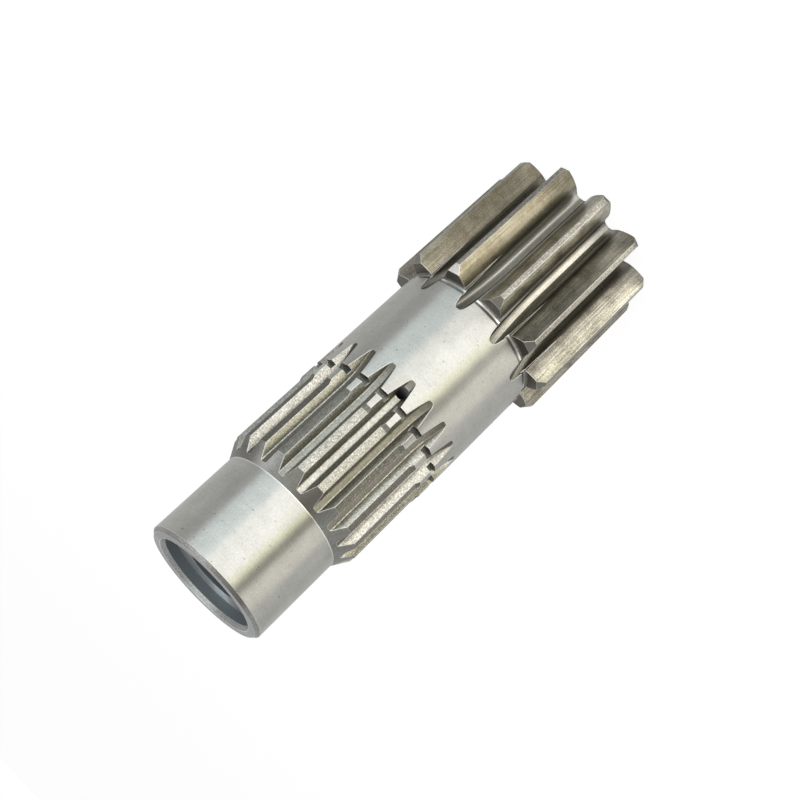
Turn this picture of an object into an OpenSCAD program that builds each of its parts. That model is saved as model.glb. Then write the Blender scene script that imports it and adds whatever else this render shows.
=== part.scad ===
// Swing motor shaft, turned and cut from one bar: bored end, rear journal, spline, bearing journal, pinion.
// It stands on its pinion end. The axis is Z, and the oil hole faces the front, which is -Y.

/* [Bored end] */
// Diameter of the rear journal, where the small bearing sits
rear_journal_d = 38; // [34:0.5:42]
// Length of the rear journal, from the bored face to the cone
rear_journal_length = 27.4; // [18:0.1:40]
// Chamfer on the outer edge of the bored face, equal along both sides
end_chamfer = 1; // [0.4:0.1:1.8]
// Diameter of the shallow recess in the bored face
recess_d = 30; // [24:0.5:32]
// Depth of the recess, from the bored face to its floor
recess_depth = 4.1; // [2:0.1:8]
// Length along the axis of the chamfer on the mouth of the recess
recess_chamfer_length = 1.2; // [0.3:0.1:1.6]
// Radial depth of that chamfer
recess_chamfer_depth = 0.8; // [0.2:0.1:1]
// Diameter of the oil bore that runs on from the recess
oil_bore_d = 19; // [10:0.5:21]
// How far the oil bore runs on past the centre of the oil hole
oil_bore_past_hole = 11; // [6:0.5:20]
// Full angle of the drill point at the end of the oil bore
drill_point_angle = 118; // [90:1:140]

/* [Spline] */
// Number of spline teeth and of grooves
spline_teeth = 20; // [16:1:24]
// Length of the cone between the rear journal and the spline
cone_length = 5.2; // [3:0.1:9]
// Length of the spline teeth at full height
spline_length = 23; // [14:0.5:36]
// Radial rise of the groove floors above the rear journal, so that a hub slides over it
spline_floor_rise = 0.8; // [0.3:0.1:1.5]
// Radial depth of the grooves in the spline teeth
spline_depth = 2.2; // [1.6:0.1:2.6]
// Width of a groove at its floor
spline_floor_width = 1.32; // [0.8:0.02:1.5]
// Pressure angle of the spline teeth
spline_pressure_angle = 30; // [25:1:32]
// Length of the sloping step from the spline teeth up to the bearing journal
step_length = 1.4; // [0.6:0.1:3]
// Radial rise of that step
step_rise = 0.5; // [0.2:0.1:1]
// How far the grooves run out into the bearing journal
spline_runout = 13.6; // [11:0.1:16]
// Radius of the disc cutter that leaves the spline grooves
spline_cutter_r = 30; // [22:1:34]

/* [Bearing journal] */
// Length of the bearing journal, from the step to the grinding relief
journal_length = 42.4; // [36:0.1:60]
// Distance from the step to the retaining ring groove
ring_groove_offset = 4.1; // [2.5:0.1:5]
// Width of the retaining ring groove
ring_groove_width = 1.9; // [1.3:0.05:2.4]
// Depth of the retaining ring groove
ring_groove_depth = 1.4; // [0.8:0.1:2]
// Distance from the step to the centre of the oil hole
oil_hole_offset = 9.6; // [8.6:0.1:12]
// Diameter of the oil hole
oil_hole_d = 3.3; // [2:0.1:4]
// Width of the grinding relief beside the pinion
relief_width = 2; // [1.2:0.1:3]
// Depth of the grinding relief below the journal
relief_depth = 0.4; // [0.2:0.05:0.8]
// Radius of the fillet between the relief and the pinion's shoulder
relief_fillet = 0.6; // [0.2:0.1:0.9]

/* [Pinion] */
// Number of pinion teeth
pinion_teeth = 11; // [10:1:13]
// Module of the pinion
pinion_module = 4; // [3.8:0.1:4.5]
// Pressure angle of the pinion
pinion_pressure_angle = 20; // [18:0.5:23]
// Profile shift of the pinion, in modules
pinion_shift = 0.375; // [0.3:0.005:0.45]
// Root clearance of the pinion, in modules
pinion_clearance = 0.25; // [0.2:0.01:0.35]
// Length of the pinion, from its end face to the shoulder
pinion_length = 48.6; // [36:0.1:70]
// Width of a pinion gap at its flat floor, between the curved feet of two teeth
pinion_floor_width = 1.8; // [1.2:0.1:3]
// Length along the axis of the tooth tip chamfer at the shoulder
shoulder_chamfer_length = 2.2; // [1:0.1:3]
// Radial depth of that chamfer
shoulder_chamfer_depth = 1.6; // [0.8:0.1:2]
// Length along the axis of the tooth tip chamfer at the end face
foot_chamfer_length = 1.4; // [0.5:0.1:2.5]
// Radial depth of that chamfer
foot_chamfer_depth = 1; // [0.4:0.1:1.8]
// How far the floors of the tooth gaps run out into the bearing journal, past the relief
pinion_runout = 4.5; // [2:0.1:8]
// Radius of the hob that leaves the tooth gaps
pinion_cutter_r = 70; // [50:1:90]
// Height above the relief from which the finished flanks run straight through the shoulder
flank_finish_rise = 0.15; // [0.1:0.05:0.6]
// Mouth diameter of the lathe centre in the end face
lathe_centre_d = 8.5; // [6:0.5:12]
// Pilot hole diameter of the lathe centre
lathe_pilot_d = 4; // [2:0.5:5]
// Depth of the pilot hole, from the end face
lathe_pilot_depth = 9; // [7:0.5:14]

/* [Hidden] */

$fn = 96;
// Overlap that carries each cut past the surface that it opens
cut = 1;
// Straight steps along one flank of a spline tooth, along the lower and the upper part of a pinion
// tooth's flank, round its foot, and round the relief's fillet
spline_steps = 4;
lower_flank_steps = 2;
upper_flank_steps = 5;
foot_steps = 4;
fillet_steps = 3;
// The cutter sweeps this far round while it leaves the work
runout_angle = 35;
// A groove beside the pinion's root keeps at least this much height to run out through
least_runout_height = 0.01;

// Radii along the turned profile
rear_journal_r = rear_journal_d / 2;
spline_floor_r = rear_journal_r + spline_floor_rise;
spline_tip_r = spline_floor_r + spline_depth;
journal_r = spline_tip_r + step_rise;
relief_r = journal_r - relief_depth;
ring_groove_r = journal_r - ring_groove_depth;
recess_r = recess_d / 2;
oil_bore_r = oil_bore_d / 2;

// Radii of the pinion
pinion_pitch_r = pinion_module * pinion_teeth / 2;
pinion_base_r = pinion_pitch_r * cos(pinion_pressure_angle);
pinion_root_r = pinion_pitch_r - pinion_module * (1 + pinion_clearance - pinion_shift);
pinion_tip_r = pinion_pitch_r + pinion_module * (1 + pinion_shift);

// Heights above the end face on which the shaft stands
shoulder_z = pinion_length;
journal_start_z = shoulder_z + relief_width;
journal_end_z = journal_start_z + journal_length;
spline_start_z = journal_end_z + step_length;
spline_end_z = spline_start_z + spline_length;
cone_end_z = spline_end_z + cone_length;
top_z = cone_end_z + rear_journal_length;
ring_groove_top_z = journal_end_z - ring_groove_offset;
ring_groove_bottom_z = ring_groove_top_z - ring_groove_width;
oil_hole_z = journal_end_z - oil_hole_offset;
oil_bore_bottom_z = oil_hole_z - oil_bore_past_hole;
drill_point_length = oil_bore_r / tan(drill_point_angle / 2);

// Involute function in degrees, and the angle of an involute at a radius outside its base circle
function involute(a) = tan(a) * 180 / PI - a;
function involute_at(r, base_r) = involute(acos(min(1, base_r / r)));

// Half of the angle that a groove takes up at radius r, from its value at radius r0
function half_gap(r, base_r, r0, half_gap0) =
    half_gap0 + involute_at(r, base_r) - involute_at(r0, base_r);

// Points along one involute flank of a groove, from radius r0 out to radius r1 in equal steps
function flank(r0, r1, steps, base_r, half_gap0) = [
    for (i = [0 : steps])
        let (r = r0 + (r1 - r0) * i / steps, a = half_gap(r, base_r, r0, half_gap0))
        [r * cos(a), r * sin(a)]
];

// A groove outline from the points of one side, which start at the floor
function both_sides(side) = concat(
    side,
    [for (i = [len(side) - 1 : -1 : 0]) [side[i][0], -side[i][1]]]
);

// Spline groove: a floor and two involute flanks, which run on past the journal
spline_pitch_r = spline_floor_r * spline_teeth / (spline_teeth - 0.2);
spline_base_r = spline_pitch_r * cos(spline_pressure_angle);
spline_outline = both_sides(flank(
    spline_floor_r,
    journal_r + cut,
    spline_steps,
    spline_base_r,
    asin(spline_floor_width / 2 / spline_floor_r)
));

// Pinion gap: a flat floor, two arcs that meet the involute flanks on the base circle, and the flanks
pinion_half_tooth = 90 / pinion_teeth
    + 2 * pinion_shift * tan(pinion_pressure_angle) / pinion_teeth * 180 / PI;
pinion_base_half_gap = 180 / pinion_teeth - pinion_half_tooth - involute(pinion_pressure_angle);
pinion_foot_x = pinion_base_r * cos(pinion_base_half_gap);
pinion_foot_y = pinion_base_r * sin(pinion_base_half_gap);
pinion_foot_height = pinion_foot_x - pinion_root_r;
pinion_foot_width = min(pinion_foot_y - pinion_floor_width / 2, pinion_foot_height);
pinion_foot_r = (pow(pinion_foot_height, 2) + pow(pinion_foot_width, 2)) / (2 * pinion_foot_width);
pinion_foot_angle = asin(pinion_foot_height / pinion_foot_r);
pinion_foot_points = [
    for (i = [foot_steps : -1 : 1])
        let (a = pinion_foot_angle * i / foot_steps)
        [pinion_foot_x - pinion_foot_r * sin(a), pinion_foot_y - pinion_foot_r * (1 - cos(a))]
];
flank_finish_r = max(relief_r, pinion_base_r) + flank_finish_rise;
lower_flank = flank(
    pinion_base_r,
    flank_finish_r,
    lower_flank_steps,
    pinion_base_r,
    pinion_base_half_gap
);
upper_flank = flank(
    flank_finish_r,
    pinion_tip_r,
    upper_flank_steps,
    pinion_base_r,
    half_gap(flank_finish_r, pinion_base_r, pinion_base_r, pinion_base_half_gap)
);
pinion_tip_y = upper_flank[upper_flank_steps][1];
past_the_tip = [[pinion_tip_r + cut, pinion_tip_y + cut * tan(45)]];
pinion_outline = both_sides(concat(
    pinion_foot_points,
    [for (i = [0 : lower_flank_steps - 1]) lower_flank[i]],
    upper_flank,
    past_the_tip
));
finish_outline = both_sides(concat(upper_flank, past_the_tip));

// Distance along the axis over which a cutter of radius r climbs by a height h
function climb(r, h) = sqrt(2 * r * h - h * h);

// Heights at which the two cutters start to leave the work
spline_leave_z = journal_end_z - spline_runout + climb(spline_cutter_r, journal_r - spline_floor_r);
pinion_runout_height = max(journal_r - pinion_root_r, least_runout_height);
pinion_leave_z = journal_start_z + pinion_runout - climb(pinion_cutter_r, pinion_runout_height);

// The finished flanks end in the relief, between its fillet and the journal
flank_finish_end_z = shoulder_z + (relief_fillet + relief_width) / 2;

// Outline of the turned blank, from the axis out and up
blank_outline = concat(
    [
        [0, 0],
        [pinion_tip_r - foot_chamfer_depth, 0],
        [pinion_tip_r, foot_chamfer_length],
        [pinion_tip_r, shoulder_z - shoulder_chamfer_length],
        [pinion_tip_r - shoulder_chamfer_depth, shoulder_z]
    ],
    [
        for (i = [0 : fillet_steps])
            let (a = 90 * i / fillet_steps)
            [
                relief_r + relief_fillet * (1 - sin(a)),
                shoulder_z + relief_fillet * (1 - cos(a))
            ]
    ],
    [
        [relief_r, journal_start_z],
        [journal_r, journal_start_z],
        [journal_r, ring_groove_bottom_z],
        [ring_groove_r, ring_groove_bottom_z],
        [ring_groove_r, ring_groove_top_z],
        [journal_r, ring_groove_top_z],
        [journal_r, journal_end_z],
        [spline_tip_r, spline_start_z],
        [spline_tip_r, spline_end_z],
        [rear_journal_r, cone_end_z],
        [rear_journal_r, top_z - end_chamfer],
        [rear_journal_r - end_chamfer, top_z],
        [0, top_z]
    ]
);

// Outline of all that is bored out of the top end, from the drill point up
bore_outline = [
    [0, oil_bore_bottom_z - drill_point_length],
    [oil_bore_r, oil_bore_bottom_z],
    [oil_bore_r, top_z - recess_depth],
    [recess_r, top_z - recess_depth],
    [recess_r, top_z - recess_chamfer_length],
    [recess_r + recess_chamfer_depth * (1 + cut / recess_chamfer_length), top_z + cut],
    [0, top_z + cut]
];

// The bar as it comes off the lathe
module turned_blank() {
    rotate_extrude() polygon(blank_outline);
}

// What one cutter removes: a straight groove below z = 0, then a climb out of the work above it.
// The groove lies along +X from the axis.
module groove_cut(outline, floor_r, cutter_r, straight) {
    cutter_axis_r = floor_r + cutter_r;
    translate([0, 0, -straight])
        linear_extrude(height = straight) polygon(outline);
    translate([cutter_axis_r, 0, 0])
        rotate([90, 0, 180])
            rotate_extrude(angle = runout_angle)
                polygon([for (p = outline) [cutter_axis_r - p[0], p[1]]]);
}

// Grooves between the spline teeth, one of them facing the front
module spline_grooves() {
    for (i = [0 : spline_teeth - 1])
        rotate([0, 0, -90 + i * 360 / spline_teeth])
            translate([0, 0, spline_leave_z])
                mirror([0, 0, 1])
                    groove_cut(
                        spline_outline,
                        spline_floor_r * cos(asin(spline_floor_width / 2 / spline_floor_r)),
                        spline_cutter_r,
                        cone_end_z + cut - spline_leave_z
                    );
}

// Gaps between the pinion teeth, one tooth facing the front. The hob's floor runs out into the journal,
// and the flanks above it are finished straight through the shoulder.
module pinion_gaps() {
    for (i = [0 : pinion_teeth - 1])
        rotate([0, 0, -90 + (i + 0.5) * 360 / pinion_teeth])
            translate([0, 0, pinion_leave_z]) {
                groove_cut(pinion_outline, pinion_root_r, pinion_cutter_r, pinion_leave_z + cut);
                linear_extrude(height = flank_finish_end_z - pinion_leave_z) polygon(finish_outline);
            }
}

// Recess, oil bore and drill point, down from the top face
module end_bore() {
    rotate_extrude() polygon(bore_outline);
}

// Hole from the front spline groove into the oil bore
module oil_hole() {
    translate([0, 0, oil_hole_z])
        rotate([90, 0, 0])
            cylinder(h = journal_r + cut, d = oil_hole_d, $fn = 48);
}

// Lathe centre in the pinion's end face
module lathe_centre() {
    mouth_r = lathe_centre_d / 2;
    pilot_r = lathe_pilot_d / 2;
    cone_depth = (mouth_r - pilot_r) / tan(30);
    rotate_extrude()
        polygon([
            [0, -cut],
            [mouth_r + cut * tan(30), -cut],
            [mouth_r, 0],
            [pilot_r, cone_depth],
            [pilot_r, lathe_pilot_depth],
            [0, lathe_pilot_depth + pilot_r * tan(30)]
        ]);
}

module pinion_shaft() {
    color("silver")
        difference() {
            turned_blank();
            spline_grooves();
            pinion_gaps();
            end_bore();
            oil_hole();
            lathe_centre();
        }
}

pinion_shaft();
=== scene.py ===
# Dresses the swing motor shaft: one machined steel piece, with a finish for each way it was cut, and painted
# light and shade on many of them.
import math
from collections import namedtuple

import bmesh
import bpy
from mathutils import Matrix, Vector


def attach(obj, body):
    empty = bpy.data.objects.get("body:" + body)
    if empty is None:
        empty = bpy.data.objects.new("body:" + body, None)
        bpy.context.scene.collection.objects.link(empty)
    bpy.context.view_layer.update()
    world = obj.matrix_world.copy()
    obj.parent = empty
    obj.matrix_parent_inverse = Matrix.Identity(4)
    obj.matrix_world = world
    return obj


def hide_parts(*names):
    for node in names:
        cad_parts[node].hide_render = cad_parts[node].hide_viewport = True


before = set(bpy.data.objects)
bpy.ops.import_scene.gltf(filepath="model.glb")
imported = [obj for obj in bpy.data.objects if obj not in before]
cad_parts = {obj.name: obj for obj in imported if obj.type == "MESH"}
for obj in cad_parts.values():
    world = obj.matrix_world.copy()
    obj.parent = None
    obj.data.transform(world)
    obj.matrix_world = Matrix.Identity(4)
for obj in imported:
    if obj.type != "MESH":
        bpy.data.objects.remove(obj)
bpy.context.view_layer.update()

# Driving sizes in millimetres, as in the part's source, but for the spline's rounded feet
REAR_JOURNAL_R = 19.0
REAR_JOURNAL_LENGTH = 27.4
END_CHAMFER = 1.0
RECESS_R = 15.0
RECESS_DEPTH = 4.1
RECESS_CHAMFER_LENGTH = 1.2
RECESS_CHAMFER_DEPTH = 0.8
OIL_BORE_R = 9.5
OIL_BORE_PAST_HOLE = 11.0
DRILL_POINT_ANGLE = math.radians(118)

SPLINE_TEETH = 20
CONE_LENGTH = 5.2
SPLINE_LENGTH = 23.0
SPLINE_FLOOR_R = 19.8
SPLINE_TIP_R = 22.0
SPLINE_FLOOR_WIDTH = 1.32
SPLINE_FOOT_R = 20.0
SPLINE_FOOT_WIDTH = 2.0
SPLINE_FOOT_BASE_R = 18.22
SPLINE_RUNOUT = 13.6
SPLINE_CUTTER_R = 30.0
STEP_LENGTH = 1.4

JOURNAL_R = 22.5
JOURNAL_LENGTH = 42.4
RING_GROOVE_R = 21.1
RING_GROOVE_OFFSET = 4.1
RING_GROOVE_WIDTH = 1.9
OIL_HOLE_R = 1.65
OIL_HOLE_OFFSET = 9.6
RELIEF_R = 22.1
RELIEF_WIDTH = 2.0
RELIEF_FILLET = 0.6

PINION_TEETH = 11
PINION_MODULE = 4.0
PINION_PRESSURE_ANGLE = math.radians(20)
PINION_SHIFT = 0.375
PINION_CLEARANCE = 0.25
PINION_LENGTH = 48.6
PINION_FLOOR_WIDTH = 1.8
PINION_RUNOUT = 4.5
PINION_CUTTER_R = 70.0
FLANK_FINISH_R = 22.25
SHOULDER_CHAMFER_LENGTH = 2.2
SHOULDER_CHAMFER_DEPTH = 1.6
FOOT_CHAMFER_LENGTH = 1.4
FOOT_CHAMFER_DEPTH = 1.0
LATHE_CENTRE_R = 4.25
LATHE_CENTRE_HALF_ANGLE = math.radians(30)
LATHE_PILOT_R = 2.0
LATHE_PILOT_DEPTH = 9.0

PINION_PITCH_R = PINION_MODULE * PINION_TEETH / 2
PINION_BASE_R = PINION_PITCH_R * math.cos(PINION_PRESSURE_ANGLE)
PINION_ROOT_R = PINION_PITCH_R - PINION_MODULE * (1 + PINION_CLEARANCE - PINION_SHIFT)
PINION_TIP_R = PINION_PITCH_R + PINION_MODULE * (1 + PINION_SHIFT)

# Heights above the pinion's end face
SHOULDER_Z = PINION_LENGTH
JOURNAL_START_Z = SHOULDER_Z + RELIEF_WIDTH
JOURNAL_END_Z = JOURNAL_START_Z + JOURNAL_LENGTH
SPLINE_START_Z = JOURNAL_END_Z + STEP_LENGTH
SPLINE_END_Z = SPLINE_START_Z + SPLINE_LENGTH
CONE_END_Z = SPLINE_END_Z + CONE_LENGTH
TOP_Z = CONE_END_Z + REAR_JOURNAL_LENGTH
RING_GROOVE_TOP_Z = JOURNAL_END_Z - RING_GROOVE_OFFSET
RING_GROOVE_BOTTOM_Z = RING_GROOVE_TOP_Z - RING_GROOVE_WIDTH
OIL_HOLE_Z = JOURNAL_END_Z - OIL_HOLE_OFFSET
OIL_BORE_BOTTOM_Z = OIL_HOLE_Z - OIL_BORE_PAST_HOLE

# Every ring of the mesh has the same number of points, so 20 spline sectors and 11 pinion sectors both fit
RING_POINTS = 440
# Direction of the front, -Y, as an angle from +X
FRONT = -math.pi / 2
# Metres in a millimetre, and the distance in millimetres within which points merge
MM = 0.001
MERGE = 0.002
# How far a flank is drawn past its blank, and how far the drill starts outside the journal
FLANK_OVERSHOOT = 0.2
DRILL_OVERSHOOT = 2.0
# Rings that follow a groove's pointed end closely: its first radius in the cone, and distances from its tip
CONE_OPENING = 0.01
SPLINE_TIP_STEPS = (0.03, 0.02, 0.01, 0.0)
PINION_TIP_STEPS = (0.0, 0.01, 0.02, 0.04)
# Length past a groove's tip over which the points of the rings spread out evenly
EVENING_LENGTH = 5.0
# How far inside the gap floors the plain part of the end face begins
END_FACE_INSET = 0.5


def involute(angle):
    """Involute function of a pressure angle."""
    return math.tan(angle) - angle


def involute_at(radius, base_r):
    """Involute function at a radius of a flank with this base radius."""
    return involute(math.acos(min(1.0, base_r / radius)))


def spaced(start, end, steps):
    """Values from start to end in equal steps, both ends included."""
    return [start + (end - start) * i / steps for i in range(steps + 1)]


def shares(steps):
    """Equal steps up to 1, without the 0 at their start."""
    return spaced(0.0, 1.0, steps)[1:]


def between(start, end, share):
    """Value at a share of the way from start to end."""
    return start + (end - start) * share


def climb(cutter_r, height):
    """Distance along the axis over which a cutter climbs by a height."""
    return math.sqrt(2 * cutter_r * height - height * height)


def clipped(polar, radius):
    """Polar points cut off at a radius: all further ones gather where the line crosses it."""
    edge_angle = polar[0][1]
    for (r0, a0), (r1, a1) in zip(polar, polar[1:]):
        if r0 < radius <= r1:
            edge_angle = a0 + (a1 - a0) * (radius - r0) / (r1 - r0)
    return [(r, a) if r < radius else (radius, edge_angle) for r, a in polar]


class Groove:
    """One kind of groove: half of its outline from the floor's middle outward, and how its cutter leaves.

    Above finish_r, a finished flank may run straight on up to a height, whatever the cutter does there.
    """

    def __init__(self, teeth, outline, cutter_r, leave_z,
                 upward=False, finish=(), finish_r=0.0, finish_z=0.0):
        self.teeth = teeth
        self.outline = outline
        self.cutter_axis_r = outline[0][0] + cutter_r
        self.leave_z = leave_z
        self.upward = upward
        self.finish = [(math.hypot(x, y), math.atan2(y, x)) for x, y in finish]
        self.finish_r = finish_r
        self.finish_z = finish_z
        self.half_points = RING_POINTS // teeth // 2 - 1
        # With an odd number of teeth a tooth faces the front, and the first gap is half a pitch further on
        self.start = self.half_points + 1 if teeth % 2 else 0

    def lifted(self, x, z):
        """Where a point of the outline lies at height z, once the cutter has begun to climb."""
        past = (z - self.leave_z) if self.upward else (self.leave_z - z)
        if past <= 0:
            return x
        reach = self.cutter_axis_r - x
        return self.cutter_axis_r - math.sqrt(max(reach * reach - past * past, 0.0))

    def half_section(self, z, radius):
        """Polar points of half a sector at height z on a blank, and whether the groove is open there."""
        polar = []
        for x, y in self.outline:
            lifted_x = self.lifted(x, z)
            polar.append((math.hypot(lifted_x, y), math.atan2(y, lifted_x)))
        is_open = polar[0][0] < radius - MERGE / 4
        is_finished = self.finish and z < self.finish_z and radius > self.finish_r
        half = clipped(polar, min(radius, self.finish_r) if is_finished else radius)
        half += clipped(self.finish, radius) if is_finished else [half[-1]] * len(self.finish)
        edge_angle = half[-1][1]
        land_points = self.half_points + 1 - len(half)
        half_pitch = math.pi / self.teeth
        for i in range(1, land_points + 2):
            share = i / (land_points + 1)
            half.append((radius, edge_angle + (half_pitch - edge_angle) * share))
        return half, is_open

    def ring(self, z, radius, evenness):
        """All points of the ring at height z, from the front round. Evenness 1 spaces them evenly."""
        half, is_open = self.half_section(z, radius)
        pitch = 2 * math.pi / self.teeth
        sector = half + [(r, pitch - a) for r, a in reversed(half[1:-1])]
        step = 2 * math.pi / RING_POINTS
        sector = [(r, a + (i * step - a) * evenness) for i, (r, a) in enumerate(sector)]
        points = []
        for tooth in range(self.teeth):
            for r, a in sector:
                points.append((r, a + tooth * pitch))
        turn = self.start
        points = points[-turn:] + points[:-turn] if turn else points
        lead = turn * 2 * math.pi / RING_POINTS
        placed = [polar_point(r, a + lead, z) for r, a in points]
        return placed, is_open


def polar_point(radius, angle, z):
    """Point at an angle round the axis from the front."""
    return (radius * math.cos(FRONT + angle), radius * math.sin(FRONT + angle), z)


def plain_ring(z, radius):
    """All points of a round ring, evenly spaced from the front."""
    step = 2 * math.pi / RING_POINTS
    return [polar_point(radius, i * step, z) for i in range(RING_POINTS)]


def spline_groove():
    """Involute groove with a flat floor and rounded feet, from the cone down and out through the journal."""
    half_floor = SPLINE_FLOOR_WIDTH / 2
    half_foot = SPLINE_FOOT_WIDTH / 2
    floor_x = SPLINE_FLOOR_R * math.cos(math.asin(half_floor / SPLINE_FLOOR_R))
    foot_angle = math.asin(half_foot / SPLINE_FOOT_R)
    foot_rise = SPLINE_FOOT_R * math.cos(foot_angle) - floor_x
    outline = [(floor_x, 0.0)]
    for a in spaced(0.0, math.pi / 2, 3)[:-1]:
        foot_y = half_floor + (half_foot - half_floor) * math.sin(a)
        outline.append((floor_x + foot_rise * (1 - math.cos(a)), foot_y))
    for r in spaced(SPLINE_FOOT_R, JOURNAL_R + FLANK_OVERSHOOT, 4):
        a = foot_angle + involute_at(r, SPLINE_FOOT_BASE_R) - involute_at(SPLINE_FOOT_R, SPLINE_FOOT_BASE_R)
        outline.append((r * math.cos(a), r * math.sin(a)))
    leave_z = JOURNAL_END_Z - SPLINE_RUNOUT + climb(SPLINE_CUTTER_R, JOURNAL_R - SPLINE_FLOOR_R)
    return Groove(SPLINE_TEETH, outline, SPLINE_CUTTER_R, leave_z)


def pinion_gap():
    """Gap between two pinion teeth: a flat floor, curved feet and involute flanks.

    The floor runs out into the journal, and the flanks are finished straight through the shoulder.
    """
    half_tooth = math.pi / 2 / PINION_TEETH
    half_tooth += 2 * PINION_SHIFT * math.tan(PINION_PRESSURE_ANGLE) / PINION_TEETH
    base_angle = math.pi / PINION_TEETH - half_tooth - involute(PINION_PRESSURE_ANGLE)
    foot_x = PINION_BASE_R * math.cos(base_angle)
    foot_y = PINION_BASE_R * math.sin(base_angle)
    height = foot_x - PINION_ROOT_R
    width = foot_y - PINION_FLOOR_WIDTH / 2
    foot_r = (height * height + width * width) / (2 * width)
    foot_angle = math.asin(height / foot_r)
    outline = [(PINION_ROOT_R, 0.0)]
    for a in spaced(foot_angle, 0.0, 5)[:-1]:
        outline.append((foot_x - foot_r * math.sin(a), foot_y - foot_r * (1 - math.cos(a))))
    finish = []
    for flank, start_r, end_r, steps in (
        (outline, PINION_BASE_R, FLANK_FINISH_R, 3),
        (finish, FLANK_FINISH_R, PINION_TIP_R + FLANK_OVERSHOOT, 7),
    ):
        for r in spaced(start_r, end_r, steps):
            a = base_angle + involute_at(r, PINION_BASE_R)
            flank.append((r * math.cos(a), r * math.sin(a)))
    leave_z = JOURNAL_START_Z + PINION_RUNOUT - climb(PINION_CUTTER_R, JOURNAL_R - PINION_ROOT_R)
    finish_z = SHOULDER_Z + (RELIEF_FILLET + RELIEF_WIDTH) / 2
    return Groove(PINION_TEETH, outline, PINION_CUTTER_R, leave_z, True, finish, FLANK_FINISH_R, finish_z)


# Finishes, in the order of the piece's material slots; some carry painted light and shade
GROUND, TURNED, BORED_END, SPLINE_LAND, SPLINE_FLOOR, SPLINE_FLANK, SHADED_PLUNGE_CUT = range(7)
PINION_FLANK, PINION_FOOT, PINION_FLOOR, PINION_LAND, PINION_END, PINION_CHAMFER = range(7, 13)
BORE, PAINTED_HIGHLIGHT_LINE, END_CHAMFER_CUT, RECESS_FLOOR, OIL_HOLE_WALL = range(13, 18)
# Finishes of the round surfaces, which get exact normals
TURNED_FINISHES = (GROUND, TURNED, SPLINE_LAND, SHADED_PLUNGE_CUT, PINION_LAND, END_CHAMFER_CUT)
# Bands of the relief: depth below the journal's end and the finish above it
RELIEF_BANDS = ((0.0, SHADED_PLUNGE_CUT), (0.45, SHADED_PLUNGE_CUT), (1.0, TURNED))
# Steps of the relief's fillet that get the painted highlight, and steps of a spline groove's outline that are
# its run-out's floor
FILLET_HIGHLIGHT_STEPS = 2
SPLINE_FLOOR_STEPS = 4
# Width in millimetres of the painted highlight line where the rear journal meets the cone
PAINTED_HIGHLIGHT_LINE_WIDTH = 0.22
# Edges sharper than this many degrees stay hard, within one finish and between two
HARD_WITHIN_FINISH = 30
HARD_BETWEEN_FINISHES = 6

Ring = namedtuple("Ring", "points z radius finish groove")


def add_ring(rings, z, radius, finish, groove=None, evenness=0.0):
    """Adds one ring of the loft. The finish is that of the turned surface from the ring before."""
    if groove is None:
        rings.append(Ring(plain_ring(z, radius), z, radius, finish, None))
        return
    points, is_open = groove.ring(z, radius, evenness)
    rings.append(Ring(points, z, radius, finish, groove if is_open else None))


def bored_end_rings(rings):
    """Up the oil bore, over the recess and the end face, and down the rear journal."""
    add_ring(rings, OIL_BORE_BOTTOM_Z, OIL_BORE_R, BORE)
    add_ring(rings, TOP_Z - RECESS_DEPTH, OIL_BORE_R, BORE)
    add_ring(rings, TOP_Z - RECESS_DEPTH, RECESS_R, RECESS_FLOOR)
    add_ring(rings, TOP_Z - RECESS_CHAMFER_LENGTH, RECESS_R, BORE)
    add_ring(rings, TOP_Z, RECESS_R + RECESS_CHAMFER_DEPTH, BORED_END)
    add_ring(rings, TOP_Z, REAR_JOURNAL_R - END_CHAMFER, BORED_END)
    add_ring(rings, TOP_Z - END_CHAMFER, REAR_JOURNAL_R, END_CHAMFER_CUT)
    add_ring(rings, CONE_END_Z + PAINTED_HIGHLIGHT_LINE_WIDTH, REAR_JOURNAL_R, GROUND)
    add_ring(rings, CONE_END_Z, REAR_JOURNAL_R, PAINTED_HIGHLIGHT_LINE)


def cone_height(radius):
    """Height at which the cone has this radius."""
    slope = (SPLINE_TIP_R - REAR_JOURNAL_R) / (CONE_END_Z - SPLINE_END_Z)
    return CONE_END_Z - (radius - REAR_JOURNAL_R) / slope


def spline_rings(rings, spline):
    """The cone, which the spline's grooves open into, the spline's teeth and the step."""
    floor_r = spline.outline[0][0]
    for share in shares(6):
        radius = between(REAR_JOURNAL_R, floor_r, share)
        add_ring(rings, cone_height(radius), radius, TURNED, spline, 1 - share)
    for radius in spaced(SPLINE_FLOOR_R + CONE_OPENING, SPLINE_TIP_R, 7):
        add_ring(rings, cone_height(radius), radius, TURNED, spline)
    add_ring(rings, SPLINE_START_Z, SPLINE_TIP_R, SPLINE_LAND, spline)
    for share in shares(3):
        z = between(SPLINE_START_Z, JOURNAL_END_Z, share)
        add_ring(rings, z, between(SPLINE_TIP_R, JOURNAL_R, share), SHADED_PLUNGE_CUT, spline)


def spline_runout_rings(rings, spline):
    """The run-outs of the spline's grooves into the journal, crossed by the ring groove."""
    closing_z = spline.leave_z - climb(SPLINE_CUTTER_R, JOURNAL_R - spline.outline[0][0])
    for z in spaced(JOURNAL_END_Z, RING_GROOVE_TOP_Z, 5)[1:]:
        add_ring(rings, z, JOURNAL_R, GROUND, spline)
    for z in spaced(RING_GROOVE_TOP_Z, RING_GROOVE_BOTTOM_Z, 3):
        add_ring(rings, z, RING_GROOVE_R, SHADED_PLUNGE_CUT, spline)
    for z in spaced(RING_GROOVE_BOTTOM_Z, closing_z + SPLINE_TIP_STEPS[0], 12):
        add_ring(rings, z, JOURNAL_R, SHADED_PLUNGE_CUT if z == RING_GROOVE_BOTTOM_Z else GROUND, spline)
    for step in SPLINE_TIP_STEPS[1:]:
        add_ring(rings, closing_z + step, JOURNAL_R, GROUND, spline)
    for share in shares(8):
        add_ring(rings, closing_z - EVENING_LENGTH * share, JOURNAL_R, GROUND, spline, share)


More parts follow.
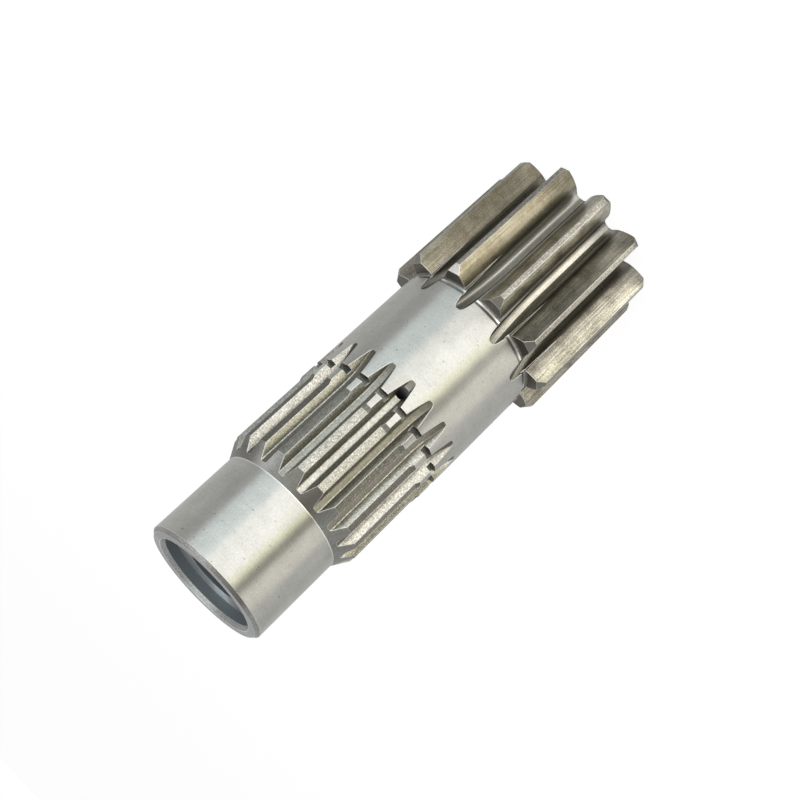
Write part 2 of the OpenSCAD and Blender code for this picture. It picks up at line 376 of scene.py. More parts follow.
def rounded_relief():
    """Radius and height of the points round the fillet between the pinion's shoulder and the relief."""
    steps = []
    for a in spaced(0.0, math.pi / 2, 5):
        radius = RELIEF_R + RELIEF_FILLET * (1 - math.sin(a))
        height = SHOULDER_Z + RELIEF_FILLET * (1 - math.cos(a))
        steps.append((radius, height))
    return steps


def pinion_runout_rings(rings, pinion):
    """The run-outs of the pinion's gaps into the journal, the relief and its fillet."""
    opening_z = JOURNAL_START_Z + PINION_RUNOUT
    for share in spaced(1.0, 0.0, 8)[:-1]:
        add_ring(rings, opening_z + EVENING_LENGTH * share, JOURNAL_R, GROUND, pinion, share)
    for step in PINION_TIP_STEPS:
        add_ring(rings, opening_z - step, JOURNAL_R, GROUND, pinion)
    for z in spaced(opening_z - PINION_TIP_STEPS[-1], JOURNAL_START_Z, 7)[1:]:
        add_ring(rings, z, JOURNAL_R, GROUND, pinion)
    for drop, finish in RELIEF_BANDS:
        add_ring(rings, JOURNAL_START_Z - drop, RELIEF_R, finish, pinion)
    for step, (radius, z) in enumerate(reversed(rounded_relief())):
        add_ring(rings, z, radius, PAINTED_HIGHLIGHT_LINE if step < FILLET_HIGHLIGHT_STEPS else SHADED_PLUNGE_CUT, pinion)


def pinion_rings(rings, pinion):
    """The pinion's shoulder with its chamfer, the tips of the teeth and the chamfer at their feet."""
    shoulder_r = PINION_TIP_R - SHOULDER_CHAMFER_DEPTH
    for radius in spaced(RELIEF_R + RELIEF_FILLET, shoulder_r, 4)[1:]:
        add_ring(rings, SHOULDER_Z, radius, PINION_END, pinion)
    for share in shares(3):
        z = SHOULDER_Z - SHOULDER_CHAMFER_LENGTH * share
        add_ring(rings, z, shoulder_r + SHOULDER_CHAMFER_DEPTH * share, PINION_CHAMFER, pinion)
    for z in spaced(SHOULDER_Z - SHOULDER_CHAMFER_LENGTH, pinion.leave_z, 12)[1:]:
        add_ring(rings, z, PINION_TIP_R, PINION_LAND, pinion)
    add_ring(rings, FOOT_CHAMFER_LENGTH, PINION_TIP_R, PINION_LAND, pinion)
    for share in shares(3):
        z = FOOT_CHAMFER_LENGTH * (1 - share)
        add_ring(rings, z, PINION_TIP_R - FOOT_CHAMFER_DEPTH * share, PINION_END, pinion)


def end_face_rings(rings):
    """The end face on which the shaft stands, and the lathe centre in it."""
    add_ring(rings, 0.0, PINION_ROOT_R - END_FACE_INSET, PINION_END)
    add_ring(rings, 0.0, LATHE_CENTRE_R, PINION_END)
    centre_depth = (LATHE_CENTRE_R - LATHE_PILOT_R) / math.tan(LATHE_CENTRE_HALF_ANGLE)
    add_ring(rings, centre_depth, LATHE_PILOT_R, TURNED)
    add_ring(rings, LATHE_PILOT_DEPTH, LATHE_PILOT_R, BORE)


def shaft_rings():
    """Rings of the whole shaft: up the bore, over the bored end, down the outside, into the lathe centre."""
    spline = spline_groove()
    pinion = pinion_gap()
    rings = []
    bored_end_rings(rings)
    spline_rings(rings, spline)
    spline_runout_rings(rings, spline)
    pinion_runout_rings(rings, pinion)
    pinion_rings(rings, pinion)
    end_face_rings(rings)
    return rings


def groove_finish(groove, index, z):
    """Finish of a groove between point index and the next one of a ring, or None on the turned surface."""
    sector_points = RING_POINTS // groove.teeth
    place = (index - groove.start) % sector_points
    step = place if place <= groove.half_points else sector_points - 1 - place
    if step >= len(groove.outline) + len(groove.finish) - 1:
        return None
    if groove.teeth == SPLINE_TEETH:
        floor_steps = SPLINE_FLOOR_STEPS if z < RING_GROOVE_BOTTOM_Z else 1
        return SPLINE_FLOOR if step < floor_steps else SPLINE_FLANK
    # The ledge between the gap that the cutter leaves and the flank that is finished straight on
    if step == len(groove.outline) - 1:
        return PINION_END
    if step >= len(groove.outline):
        return PINION_FLANK
    return PINION_FOOT if step else PINION_FLOOR


def loft(rings):
    """Points, faces and face finishes of the surface through the rings, closed by a point at each end."""
    points = [p for ring in rings for p in ring.points]
    faces = []
    finishes = []
    for number, (upper, lower) in enumerate(zip(rings, rings[1:])):
        groove = upper.groove or lower.groove
        is_wall = abs(upper.z - lower.z) < MERGE
        base = number * RING_POINTS
        for i in range(RING_POINTS):
            j = (i + 1) % RING_POINTS
            faces.append((base + i, base + RING_POINTS + i, base + RING_POINTS + j, base + j))
            finish = groove_finish(groove, i, upper.z) if groove and not is_wall else None
            finishes.append(lower.finish if finish is None else finish)
    for number in (0, len(rings) - 1):
        ring = rings[number]
        is_bore = number == 0
        tip_length = ring.radius / math.tan(DRILL_POINT_ANGLE / 2)
        tip = len(points)
        points.append((0.0, 0.0, ring.z - tip_length if is_bore else ring.z + tip_length))
        base = number * RING_POINTS
        for i in range(RING_POINTS):
            j = (i + 1) % RING_POINTS
            faces.append((tip, base + i, base + j) if is_bore else (base + i, tip, base + j))
            finishes.append(BORE)
    return points, faces, finishes


def shaft_mesh():
    """The lofted surface as a mesh in metres, with merged points."""
    points, faces, finishes = loft(shaft_rings())
    mesh = bpy.data.meshes.new("pinion_shaft_skin")
    mesh.from_pydata(points, [], faces)
    mesh.polygons.foreach_set("material_index", finishes)
    work = bmesh.new()
    work.from_mesh(mesh)
    bmesh.ops.remove_doubles(work, verts=work.verts, dist=MERGE)
    bmesh.ops.dissolve_degenerate(work, edges=work.edges, dist=MERGE / 2)
    bmesh.ops.scale(work, vec=(MM, MM, MM), verts=work.verts)
    work.to_mesh(mesh)
    work.free()
    return mesh


def oil_hole_drill(materials):
    """Cylinder from outside the front spline groove into the bore, with the materials of the shaft."""
    outer_end = JOURNAL_R + DRILL_OVERSHOOT
    inner_end = OIL_BORE_R / 2
    place = Matrix.Translation((0, -(outer_end + inner_end) / 2 * MM, OIL_HOLE_Z * MM))
    work = bmesh.new()
    bmesh.ops.create_cone(
        work,
        cap_ends=True,
        segments=64,
        radius1=OIL_HOLE_R * MM,
        radius2=OIL_HOLE_R * MM,
        depth=(outer_end - inner_end) * MM,
        matrix=place @ Matrix.Rotation(math.pi / 2, 4, "X"),
    )
    for face in work.faces:
        face.material_index = OIL_HOLE_WALL
    mesh = bpy.data.meshes.new("oil_hole_drill")
    work.to_mesh(mesh)
    work.free()
    for material in materials:
        mesh.materials.append(material)
    drill = bpy.data.objects.new("oil_hole_drill", mesh)
    bpy.context.scene.collection.objects.link(drill)
    return drill


def drill_oil_hole(shaft):
    """Cuts the oil hole through the front spline groove into the bore."""
    drill = oil_hole_drill(shaft.data.materials)
    cut = shaft.modifiers.new("oil_hole", "BOOLEAN")
    cut.operation = "DIFFERENCE"
    cut.solver = "EXACT"
    cut.object = drill
    bpy.context.view_layer.update()
    evaluated = shaft.evaluated_get(bpy.context.evaluated_depsgraph_get())
    result = bpy.data.meshes.new_from_object(evaluated)
    shaft.modifiers.clear()
    shaft.data = result
    bpy.data.objects.remove(drill)


def turned_normal(face, corners):
    """Exact normal of a turned face at each of its corners, or none where it is flat or rounded."""
    rims = sorted((p.z, math.hypot(p.x, p.y)) for p in corners)
    low_z, low_r = rims[0]
    high_z, high_r = rims[-1]
    rise = high_z - low_z
    fillet_end_z = SHOULDER_Z + RELIEF_FILLET
    is_fillet = SHOULDER_Z - MERGE < low_z / MM and high_z / MM < fillet_end_z + MERGE
    if face.material_index not in TURNED_FINISHES or rise < MERGE * MM or is_fillet:
        return [(0.0, 0.0, 0.0)] * len(corners)
    slope = (high_r - low_r) / rise
    normals = []
    for p in corners:
        normal = Vector((p.x, p.y, -slope * math.hypot(p.x, p.y))).normalized()
        normals.append(normal if normal.dot(face.normal) > 0 else -normal)
    return normals


def shade(mesh):
    """Smooth faces, sharp where two finishes meet at an angle, and exact normals on the turned surfaces."""
    work = bmesh.new()
    work.from_mesh(mesh)
    for face in work.faces:
        face.smooth = True
    for edge in work.edges:
        if len(edge.link_faces) == 2:
            first, second = edge.link_faces
            is_within = first.material_index == second.material_index
            limit = HARD_WITHIN_FINISH if is_within else HARD_BETWEEN_FINISHES
            edge.smooth = edge.calc_face_angle(0.0) < math.radians(limit)
    work.to_mesh(mesh)
    work.free()
    normals = []
    for face in mesh.polygons:
        normals += turned_normal(face, [mesh.vertices[v].co for v in face.vertices])
    mesh.normals_split_custom_set(normals)


class Shader:
    """A small builder of the node tree of a material or a world."""

    def __init__(self, owner):
        self.owner = owner
        owner.use_nodes = True
        self.tree = owner.node_tree
        self.tree.nodes.clear()

    def set_input(self, node, socket, value):
        """Links another node's output to a socket, or sets the socket's own value."""
        if isinstance(value, bpy.types.NodeSocket):
            self.tree.links.new(value, node.inputs[socket])
        else:
            node.inputs[socket].default_value = value

    def add(self, kind, inputs, **settings):
        node = self.tree.nodes.new(kind)
        for key, value in settings.items():
            setattr(node, key, value)
        for socket, value in inputs.items():
            self.set_input(node, socket, value)
        return node

    def source(self, kind, **settings):
        """Outputs of a node without inputs."""
        return self.add(kind, {}, **settings).outputs

    def math(self, operation, a, b, clamp=False):
        return self.add("ShaderNodeMath", {0: a, 1: b}, operation=operation, use_clamp=clamp).outputs[0]

    def product(self, a, b):
        return self.math("MULTIPLY", a, b)

    def mix(self, share, a, b):
        """Colour a, covered by a share of colour b."""
        node = self.add("ShaderNodeMix", {"Factor": share}, data_type="RGBA")
        for socket, value in ((6, a), (7, b)):
            self.set_input(node, socket, (*value, 1.0) if isinstance(value, tuple) else value)
        return node.outputs[2]

    def noise(self, point, scale, detail, roughness):
        inputs = {"Vector": point, "Scale": scale, "Detail": detail, "Roughness": roughness}
        return self.add("ShaderNodeTexNoise", inputs).outputs[0]

    def stretched(self, point, scales):
        return self.add("ShaderNodeMapping", {"Vector": point, "Scale": scales}).outputs[0]

    def ramp(self, value, low, high):
        """Share that grows from 0 where the value is low to 1 where it is high."""
        inputs = {"Value": value, "From Min": low, "From Max": high}
        return self.add("ShaderNodeMapRange", inputs, clamp=True).outputs[0]


def painted_shade_share(s, point, levels):
    """Share of painted light and shade, which differs round the shaft. Angle 0 is the front."""
    place = s.add("ShaderNodeSeparateXYZ", {0: point}).outputs
    turn = s.math("ARCTAN2", s.product(place["X"], -1.0), s.product(place["Y"], -1.0))
    share = s.math("ADD", s.math("DIVIDE", turn, 2 * math.pi), 0.5)
    ramp = s.add("ShaderNodeValToRGB", {"Fac": share})
    stops = ramp.color_ramp.elements
    for angle, level in levels[1:-1]:
        stops.new(0.5 + angle / 360)
    for stop, (angle, level) in zip(stops, levels):
        stop.position = 0.5 + angle / 360
        stop.color = (level, level, level, 1.0)
    return ramp.outputs[0]


# Painted light and shade round the shaft, each as pairs of an angle in degrees, which is 0 at the front and
# positive toward -X, and the share of painted shade there. The first ones darken the steel, with painted
# highlights where the share drops, then one is painted shade tinted brown and one is a painted highlight
# line.
PINION_PAINTED_SHADE = (
    (-180, 0.4),
    (-130, 0.6),
    (-95, 0.3),
    (-60, 0.35),
    (-55, 0.05),
    (-48, 0.1),
    (-32, 0.3),
    (-28, 0.4),
    (-26.5, 0.45),
    (-24.5, 0.0),
    (-22, 0.0),
    (-20.5, 0.7),
    (-12.6, 0.65),
    (-12, 0.3),
    (-6, 0.3),
    (3, 0.0),
    (6, 0.0),
    (9, 0.75),
    (14.6, 0.9),
    (15.8, 0.0),
    (21, 0.0),
    (24, 0.35),
    (28, 0.8),
    (40, 0.7),
    (48, 0.3),
    (54, 0.5),
    (57, 0.45),
    (61, 0.0),
    (75, 0.0),
    (110, 0.6),
    (145, 0.2),
    (180, 0.4),
)
CHAMFER_PAINTED_SHADE = (
    (-180, 0.8),
    (-50, 0.85),
    (-42, 0.15),
    (-25, 0.15),
    (-10, 1.0),
    (10, 1.0),
    (25, 0.9),
    (180, 0.8),
)
END_FACE_PAINTED_SHADE = (
    (-180, 0.7),
    (-22, 0.6),
    (-14, 0.0),
    (14, 0.1),
    (22, 0.75),
    (180, 0.7),
)
SPLINE_PAINTED_SHADE = (
    (-180, 0.5),
    (-66, 1.0),
    (-45, 0.7),
    (-27, 0.75),
    (-18, 0.35),
    (-12, 0.05),
    (12, 0.15),
    (18, 0.35),
    (27, 0.6),
    (45, 0.7),
    (60, 0.5),
    (180, 0.5),
)
FLANK_PAINTED_SHADE = (
    (-180, 0.3),
    (-80, 0.6),
    (-70, 0.5),
    (-62, 0.1),
    (-46, 0.1),
    (-38, 0.35),
    (-24, 0.4),
    (24, 0.4),
    (34, 0.1),
    (46, 0.0),
    (180, 0.3),
)
CONE_PAINTED_SHADE = (
    (-180, 0.6),
    (-60, 0.74),
    (-48, 0.68),
    (-38, 0.1),
    (-31, 0.05),
    (-24, 0.5),
    (-16, 0.72),
    (2, 0.92),
    (10, 0.97),
    (16, 0.92),
    (24, 0.72),
    (36, 0.48),
    (48, 0.55),
    (180, 0.6),
)
END_CHAMFER_PAINTED_SHADE = (
    (-180, 0.3),
    (-50, 0.2),
    (-30, 0.0),
    (-12, 0.35),
    (0, 0.75),
    (30, 0.75),
    (42, 0.2),
    (180, 0.3),
)
RECESS_FLOOR_PAINTED_SHADE = (
    (-180, 0.6),
    (-150, 0.75),
    (130, 0.75),
    (142, 0.5),
    (152, 0.0),
    (166, 0.05),
    (180, 0.6),
)
# Painted shade tinted brown on the pinion's flanks, between -72 and -24 degrees
BROWN_PAINTED_SHADE = (
    (-180, 0.0),
    (-80, 0.0),
    (-72, 0.3),
    (-24, 0.35),
    (-16, 0.0),
    (180, 0.0),
)
# Painted highlight: a pale line on the pinion's feet and floors near -20 degrees
PAINTED_FOOT_HIGHLIGHT = (
    (-180, 0.0),
    (-23, 0.0),
    (-21, 0.75),
    (-19, 0.7),
    (-17.5, 0.0),
    (180, 0.0),
)
# Colour of the painted shade, the tints of the brown painted shade and of the painted highlight line, and how
# much of them shows
PAINTED_SHADE_COLOR = (0.055, 0.05, 0.038)
PAINTED_TINTS = {BROWN_PAINTED_SHADE: (0.30, 0.24, 0.12), PAINTED_FOOT_HIGHLIGHT: (0.90, 0.88, 0.80)}
PAINTED_SHADE_COVER = 0.93

# Radius in metres from which a painted shade starts, radius at which it is full, and its strength there:
# darker towards the teeth's roots and up the run-outs' floors
TOOTH_ROOT_PAINTED_SHADE = (0.0265, 0.0185, 0.45)
RUNOUT_PAINTED_SHADE = (0.0199, 0.0225, 0.65)
GAP_RUNOUT_PAINTED_SHADE = (0.0185, 0.0225, 0.7)

# Tints of marks and pits, of worn edges with their painted highlight, and of the painted shade in corners
DARK = (0.10, 0.085, 0.06)
PALE = (0.85, 0.84, 0.80)
CORNER_SHADE_COLOR = (0.05, 0.045, 0.04)

# Scales of the noises per metre; tool marks are stretched round the shaft or along it
AROUND = (60, 60, 9000)
ALONG = (2600, 2600, 60)
BLOTCH_SCALE = 160.0
GRAIN_SCALE = 2600.0
PIT_SCALE = 1100.0

# Radius of a worn edge, reach of the painted shade in a corner and height of the bumps, in metres
EDGE_RADIUS = 0.00025
CORNER_REACH = 0.0012
BUMP_HEIGHT = 0.00003
BUMP_STRENGTH = 0.35


def worn_edge_highlight_share(s, rounded, corner, edge):
    """Share of worn edge with a painted highlight: where the rounded normal leaves the flat one, but not deep
    in a corner.
    """
    flat = s.source("ShaderNodeNewGeometry")["Normal"]
    facing = s.add("ShaderNodeVectorMath", {0: rounded, 1: flat}, operation="DOT_PRODUCT").outputs["Value"]
    open_air = s.ramp(corner, 0.45, 0.8)
    return s.product(s.product(s.ramp(facing, 0.995, 0.93), edge), open_air)


def covered_by_painted_shades(s, tone, point, painted_shades, radial):
    """The tone under the painted light and shade that differ round the shaft, and under the painted shade
    that starts at a radius.
    """
    for levels in painted_shades:
        share = s.product(painted_shade_share(s, point, levels), PAINTED_SHADE_COVER)
        tone = s.mix(share, tone, PAINTED_TINTS.get(levels, PAINTED_SHADE_COLOR))
    if radial:
        place = s.add("ShaderNodeSeparateXYZ", {0: point}).outputs
        across = s.add("ShaderNodeCombineXYZ", {0: place["X"], 1: place["Y"]}).outputs[0]
        reach = s.add("ShaderNodeVectorMath", {0: across}, operation="LENGTH").outputs["Value"]
        start, end, strength = radial
        tone = s.mix(s.product(s.ramp(reach, start, end), strength), tone, PAINTED_SHADE_COLOR)
    return tone


def steel(name, color, roughness, anisotropic, streaks, streak_depth, mottle, grain,
          specks=0.3, edge=0.8, painted_shades=(), radial=None, corner_shade=0.6, metallic=1.0):
    """Bare machined steel with tool streaks, mottle, grain and pits, painted shade in its corners, worn edges
    with a painted highlight, and painted light and shade by angle and radius.
    """
    s = Shader(bpy.data.materials.new(name))
    point = s.source("ShaderNodeTexCoord")["Object"]
    marks = s.noise(s.stretched(point, streaks), 1.0, 4.0, 0.65)
    blotches = s.noise(point, BLOTCH_SCALE, 4.0, 0.6)
    grains = s.noise(point, GRAIN_SCALE, 2.0, 0.6)
    pits = s.ramp(s.noise(point, PIT_SCALE, 3.0, 0.6), 0.66, 0.72)
    rounded = s.add("ShaderNodeBevel", {"Radius": EDGE_RADIUS}, samples=6).outputs[0]
    corner = s.add("ShaderNodeAmbientOcclusion", {"Distance": CORNER_REACH}, samples=6).outputs["AO"]

    tone = s.mix(s.product(s.ramp(marks, 0.35, 0.75), mottle * 2), color, DARK)
    tone = s.mix(s.product(s.ramp(blotches, 0.42, 0.75), mottle * 2), tone, DARK)
    tone = s.mix(s.product(s.ramp(grains, 0.5, 0.3), grain), tone, DARK)
    tone = s.mix(s.product(s.ramp(grains, 0.52, 0.72), grain), tone, PALE)
    tone = s.mix(s.product(pits, specks), tone, DARK)
    # Painted light and shade round the shaft, and painted shade that grows with radius
    tone = covered_by_painted_shades(s, tone, point, painted_shades, radial)
    # Painted shade in corners, from ambient occlusion
    tone = s.mix(s.product(s.ramp(corner, 0.85, 0.4), corner_shade), tone, CORNER_SHADE_COLOR)
    # Worn edges, brightened in the base colour as a painted highlight
    tone = s.mix(worn_edge_highlight_share(s, rounded, corner, edge), tone, PALE)

    rough = s.math("ADD", s.product(s.math("SUBTRACT", marks, 0.5), 0.2), roughness, clamp=True)
    depth = s.math("ADD", s.product(marks, streak_depth), s.product(pits, -0.6))
    depth = s.math("ADD", depth, s.product(grains, grain * 0.5))
    bump = s.add("ShaderNodeBump", {
        "Strength": BUMP_STRENGTH,
        "Distance": BUMP_HEIGHT,
        "Height": depth,
        "Normal": rounded,
    }).outputs[0]
    shader = s.add("ShaderNodeBsdfPrincipled", {
        "Base Color": tone,
        "Metallic": metallic,
        "Roughness": rough,
        "Anisotropic": anisotropic,
        "Anisotropic Rotation": 0.25,
        "Tangent": s.source("ShaderNodeTangent", direction_type="RADIAL", axis="Z")[0],
        "Normal": bump,
    })
    s.add("ShaderNodeOutputMaterial", {"Surface": shader.outputs[0]})
    return s.owner


def spline_steels():
    """Lands, floors and flanks of the spline."""
    return [
        steel("spline_land", (0.37, 0.36, 0.315), 0.40, 0.6, AROUND,
              streak_depth=0.4, mottle=0.1, grain=0.6, edge=0.5, painted_shades=(SPLINE_PAINTED_SHADE,)),
        steel("spline_floor", (0.42, 0.41, 0.36), 0.36, 0.4, AROUND,
              streak_depth=0.4, mottle=0.12, grain=0.35, edge=0.5, painted_shades=(SPLINE_PAINTED_SHADE,), radial=RUNOUT_PAINTED_SHADE),
        steel("spline_flank", (0.41, 0.40, 0.35), 0.36, 0.4, AROUND,
              streak_depth=0.4, mottle=0.12, grain=0.55, edge=0.5, painted_shades=(FLANK_PAINTED_SHADE,), corner_shade=0.4),
    ]


def pinion_steels():
    """Flanks, feet, floors, lands, ends and chamfers of the pinion's teeth."""
    return [
        steel("pinion_flank", (0.57, 0.55, 0.45), 0.32, 0.4, ALONG,
              streak_depth=0.6, mottle=0.5, grain=0.4,
              painted_shades=(PINION_PAINTED_SHADE, BROWN_PAINTED_SHADE), radial=TOOTH_ROOT_PAINTED_SHADE, corner_shade=0.3),
        steel("pinion_foot", (0.40, 0.385, 0.33), 0.36, 0.3, ALONG,
              streak_depth=0.4, mottle=0.2, grain=0.35,
              painted_shades=(PINION_PAINTED_SHADE, PAINTED_FOOT_HIGHLIGHT), radial=GAP_RUNOUT_PAINTED_SHADE),
        steel("pinion_floor", (0.54, 0.52, 0.45), 0.36, 0.3, ALONG,
              streak_depth=0.4, mottle=0.12, grain=0.3,
              painted_shades=(PINION_PAINTED_SHADE, PAINTED_FOOT_HIGHLIGHT), radial=GAP_RUNOUT_PAINTED_SHADE, corner_shade=0.2),
        steel("pinion_land", (0.25, 0.24, 0.21), 0.42, 0.5, AROUND,
              streak_depth=0.4, mottle=0.15, grain=0.4, edge=0.55),
        steel("pinion_end", (0.145, 0.14, 0.135), 0.42, 0.5, AROUND,
              streak_depth=0.5, mottle=0.25, grain=0.2, edge=0.25, painted_shades=(END_FACE_PAINTED_SHADE,)),
        steel("pinion_chamfer", (0.80, 0.79, 0.74), 0.42, 0.5, AROUND,
              streak_depth=0.4, mottle=0.15, grain=0.2, edge=0.4, painted_shades=(CHAMFER_PAINTED_SHADE,)),
    ]


def steel_finishes():
    """The finishes, in the order of the constants for the material slots."""
    return [
        steel("ground_journal", (0.46, 0.46, 0.432), 0.38, 0.85, AROUND,
              streak_depth=0.2, mottle=0.08, grain=0.12, specks=0.6),
        steel("turned_steel", (0.41, 0.42, 0.405), 0.45, 0.5, AROUND,
              streak_depth=0.4, mottle=0.15, grain=0.25, painted_shades=(CONE_PAINTED_SHADE,)),
        steel("bored_end", (0.27, 0.285, 0.29), 0.45, 0.5, AROUND,
              streak_depth=0.4, mottle=0.15, grain=0.25),
        *spline_steels(),
        # Painted shade: the ring groove, the step, the relief and part of its fillet are toned far darker
        # than the steel
        steel("plunge_cut_painted_shade", (0.13, 0.127, 0.112), 0.42, 0.5, AROUND,
              streak_depth=0.3, mottle=0.1, grain=0.2, edge=0.15),
        *pinion_steels(),
        # Painted shade: the bore, the recess wall, the lathe centre's pilot and the drill points are toned
        # dark and bluish, far below the steel
        steel("bore", (0.175, 0.205, 0.222), 0.5, 0.0, AROUND,
              streak_depth=0.1, mottle=0.05, grain=0.05, specks=0.1, edge=0.05, corner_shade=0.0, metallic=0.4),
        # Painted highlight: a pale ring where the rear journal meets the cone, and on part of the relief's
        # fillet
        steel("painted_highlight_line", (0.70, 0.70, 0.67), 0.40, 0.5, AROUND,
              streak_depth=0.2, mottle=0.05, grain=0.1),
        steel("end_chamfer", (0.29, 0.295, 0.29), 0.42, 0.5, AROUND,
              streak_depth=0.3, mottle=0.15, grain=0.3, edge=0.3, painted_shades=(END_CHAMFER_PAINTED_SHADE,)),
        # Painted highlight: the recess floor is toned pale and bluish, and shows as a bright crescent only
        # where its painted shade drops away
        steel("recess_floor", (0.62, 0.68, 0.72), 0.5, 0.0, AROUND,
              streak_depth=0.1, mottle=0.05, grain=0.05, specks=0.1, edge=0.05,
              painted_shades=(RECESS_FLOOR_PAINTED_SHADE,), corner_shade=0.0, metallic=0.4),
        steel("oil_hole_wall", (0.30, 0.285, 0.295), 0.6, 0.0, AROUND,
              streak_depth=0.1, mottle=0.1, grain=0.1, specks=0.1, corner_shade=0.0, metallic=0.2),
    ]


def make_shaft():
    """The dressed shaft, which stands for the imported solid."""
    shaft = bpy.data.objects.new("dressed_shaft", shaft_mesh())
    bpy.context.scene.collection.objects.link(shaft)
    for material in steel_finishes():
        shaft.data.materials.append(material)
    drill_oil_hole(shaft)
    shade(shaft.data)
    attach(shaft, "root")
    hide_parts("pinion_shaft")


# Camera: the photograph's own viewpoint, fitted to the journals and the circles at the ends of each section.
# The lens and the sensor are in millimetres and the distances in metres.
CAMERA_LENS = 57.83
CAMERA_SENSOR = 36.0
CAMERA_ROLL = math.radians(43.5)
CAMERA_HEIGHT = 0.21523
CAMERA_DISTANCE = 0.32346
CAMERA_OFFSET = 0.000208
CAMERA_PITCH = math.asin(0.395088)
SHAFT_PHASE = math.radians(-1.7)


def make_camera():
    """Looks down at the shaft from its bored end, rolled so that the shaft rises to the upper right."""
    toward = Vector((math.sin(SHAFT_PHASE), -math.cos(SHAFT_PHASE), 0.0))
    across = Vector((-math.cos(SHAFT_PHASE), -math.sin(SHAFT_PHASE), 0.0))
    down = Vector((0.0, 0.0, -1.0))
    along = down * math.cos(CAMERA_PITCH) + toward * math.sin(CAMERA_PITCH)
    forward = down * math.sin(CAMERA_PITCH) - toward * math.cos(CAMERA_PITCH)
    right = along * math.cos(CAMERA_ROLL) + across * math.sin(CAMERA_ROLL)
    up = along * math.sin(CAMERA_ROLL) - across * math.cos(CAMERA_ROLL)
    data = bpy.data.cameras.new("camera")
    data.lens = CAMERA_LENS
    data.sensor_width = CAMERA_SENSOR
    data.clip_start = 0.01
    camera = bpy.data.objects.new("camera", data)
    place = toward * CAMERA_DISTANCE + across * CAMERA_OFFSET + Vector((0.0, 0.0, CAMERA_HEIGHT))
    turn = Matrix((right, up, -forward)).transposed().to_4x4()
    camera.matrix_world = Matrix.Translation(place) @ turn
    bpy.context.scene.collection.objects.link(camera)
    bpy.context.scene.camera = camera


# The floor's size in metres, its colour, its glow for the rays that see the backdrop, the world's level for
# all other rays, and a point about halfway up the shaft, which the lamp faces
FLOOR_SIZE = 40.0
FLOOR_COLOR = (0.25, 0.25, 0.25, 1.0)
FLOOR_GLOW = 0.89
WORLD_FILL = 0.35
LAMP_TARGET = Vector((0.0, 0.0, 0.08))


def backdrop_rays(s):
    """Share 1 for the rays that see the backdrop: from the camera, in metal and through glass."""
    path = s.source("ShaderNodeLightPath")
    seen = s.math("ADD", path["Is Camera Ray"], path["Is Glossy Ray"])
    return s.math("ADD", seen, path["Is Transmission Ray"], clamp=True)


def make_floor():
    """Plain white floor under the pinion's end face."""
    s = Shader(bpy.data.materials.new("white_floor"))
    matte = s.add("ShaderNodeBsdfDiffuse", {"Color": FLOOR_COLOR}).outputs[0]
    glow = s.add("ShaderNodeEmission", {"Strength": s.product(backdrop_rays(s), FLOOR_GLOW)}).outputs[0]
    both = s.add("ShaderNodeAddShader", {0: matte, 1: glow}).outputs[0]
    s.add("ShaderNodeOutputMaterial", {"Surface": both})
    half = FLOOR_SIZE / 2
    mesh = bpy.data.meshes.new("floor")
    corners = [(-half, -half, 0.0), (half, -half, 0.0), (half, half, 0.0), (-half, half, 0.0)]
    mesh.from_pydata(corners, [], [(0, 1, 2, 3)])
    mesh.materials.append(s.owner)
    floor = bpy.data.objects.new("floor", mesh)
    bpy.context.scene.collection.objects.link(floor)


def direction_to(azimuth, elevation):
    """Unit vector from the shaft. Azimuth 0 is the front, and positive turns toward -X."""
    a = math.radians(azimuth)
    e = math.radians(elevation)
    return Vector((-math.sin(a) * math.cos(e), -math.cos(a) * math.cos(e), math.sin(e)))


def soft_box(name, azimuth, elevation, distance, size, level):
    """Square area lamp whose face has the given brightness."""
    direction = direction_to(azimuth, elevation)
    data = bpy.data.lights.new(name, "AREA")
    data.shape = "RECTANGLE"
    data.size = size
    data.size_y = size
    data.energy = level * math.pi * size * size
    lamp = bpy.data.objects.new(name, data)
    lamp.location = direction * distance + LAMP_TARGET
    lamp.rotation_mode = "QUATERNION"
    lamp.rotation_quaternion = (-direction).to_track_quat("-Z", "Y")
    lamp.visible_camera = False
    bpy.context.scene.collection.objects.link(lamp)


# Distance from the axis and height of each line along a card, and the angle in degrees between two columns
WIDE_CARD = ((0.029, 0.001), (0.2, 0.001), (0.9, 0.001), (1.2, 0.12), (1.3, 0.30))
NEAR_CARD = ((0.029, 0.0012), (0.105, 0.0012))
CARD_STEP = 6
WHITE = (1.0, 1.0, 1.0)


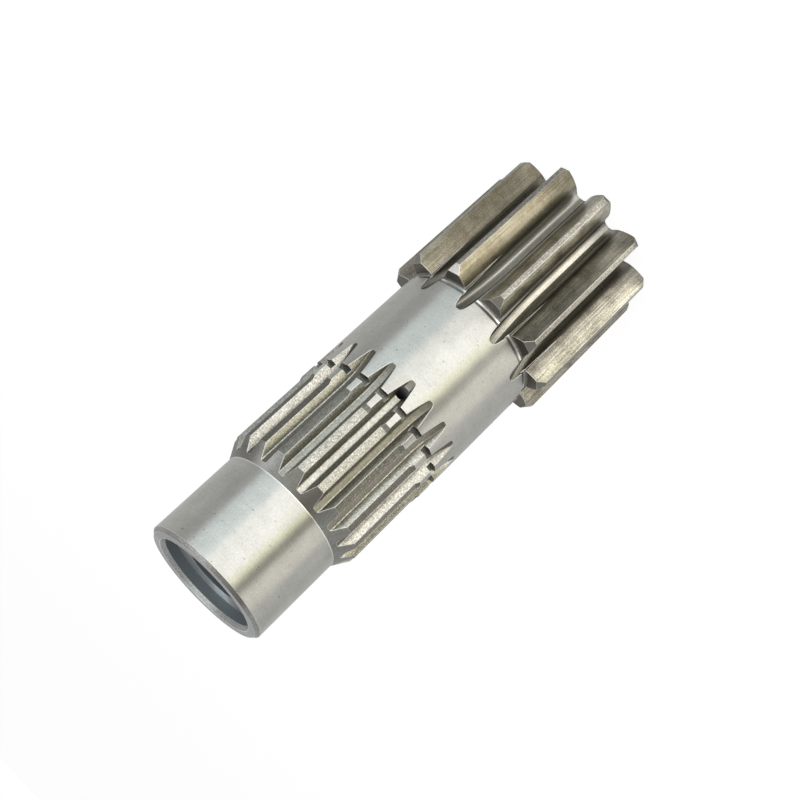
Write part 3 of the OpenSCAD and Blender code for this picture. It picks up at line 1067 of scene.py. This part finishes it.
def card(name, start, end, level, color=WHITE, profile=WIDE_CARD):
    """Card between two azimuths, which lies round the shaft. A wide one curves up at its far edge.

    Only reflections see it: it gives the ground journals and the teeth their bright and dark bands.
    """
    columns = max(2, round((end - start) / CARD_STEP))
    row = len(profile)
    points = []
    for azimuth in spaced(start, end, columns):
        direction = direction_to(azimuth, 0.0)
        points += [direction * reach + Vector((0.0, 0.0, z)) for reach, z in profile]
    faces = []
    for column in range(columns):
        for i in range(column * row, column * row + row - 1):
            faces.append((i + row, i + row + 1, i + 1, i))
    mesh = bpy.data.meshes.new(name)
    mesh.from_pydata(points, [], faces)
    s = Shader(bpy.data.materials.new(name))
    glow = s.add("ShaderNodeEmission", {"Color": (*color, 1.0), "Strength": level}).outputs[0]
    s.add("ShaderNodeOutputMaterial", {"Surface": glow})
    mesh.materials.append(s.owner)
    panel = bpy.data.objects.new(name, mesh)
    bpy.context.scene.collection.objects.link(panel)
    panel.visible_camera = False
    panel.visible_shadow = False
    panel.visible_diffuse = False


def make_lights():
    """One soft box above, and cards round the foot of the shaft."""
    soft_box("top", -20, 62, distance=1.1, size=1.0, level=1.6)
    card("card_front", -26, 23, 2.5, (1.0, 0.995, 0.985))
    card("card_warm", 23, 34, 2.3, (1.0, 0.97, 0.68))
    card("card_left", -64, -26, 1.72, (0.88, 0.975, 1.02))
    card("card_far_left", -92, -64, 0.58)
    card("card_gap", 34, 50.5, 0.13, (1.0, 0.9, 0.5))
    card("card_right", 50.5, 84, 1.5, (1.0, 0.97, 0.90))
    card("card_far_right", 84, 112, 0.9)
    card("card_back", 112, 268, 0.75)
    card("near_left", -100, -6, 0.7, WHITE, NEAR_CARD)
    card("near_right", -6, 60, 2.4, (1.0, 0.98, 0.94), NEAR_CARD)


def make_world():
    """Plain white world, which the camera and metal see at full level and matt surfaces at a lower one."""
    s = Shader(bpy.data.worlds.new("studio"))
    level = s.add("ShaderNodeMapRange", {"Value": backdrop_rays(s), "To Min": WORLD_FILL}).outputs[0]
    background = s.add("ShaderNodeBackground", {"Color": (*WHITE, 1.0), "Strength": level}).outputs[0]
    s.add("ShaderNodeOutputWorld", {"Surface": background})
    bpy.context.scene.world = s.owner


make_camera()
make_shaft()
make_floor()
make_lights()
make_world()
bpy.context.scene.view_settings.view_transform = "Standard"
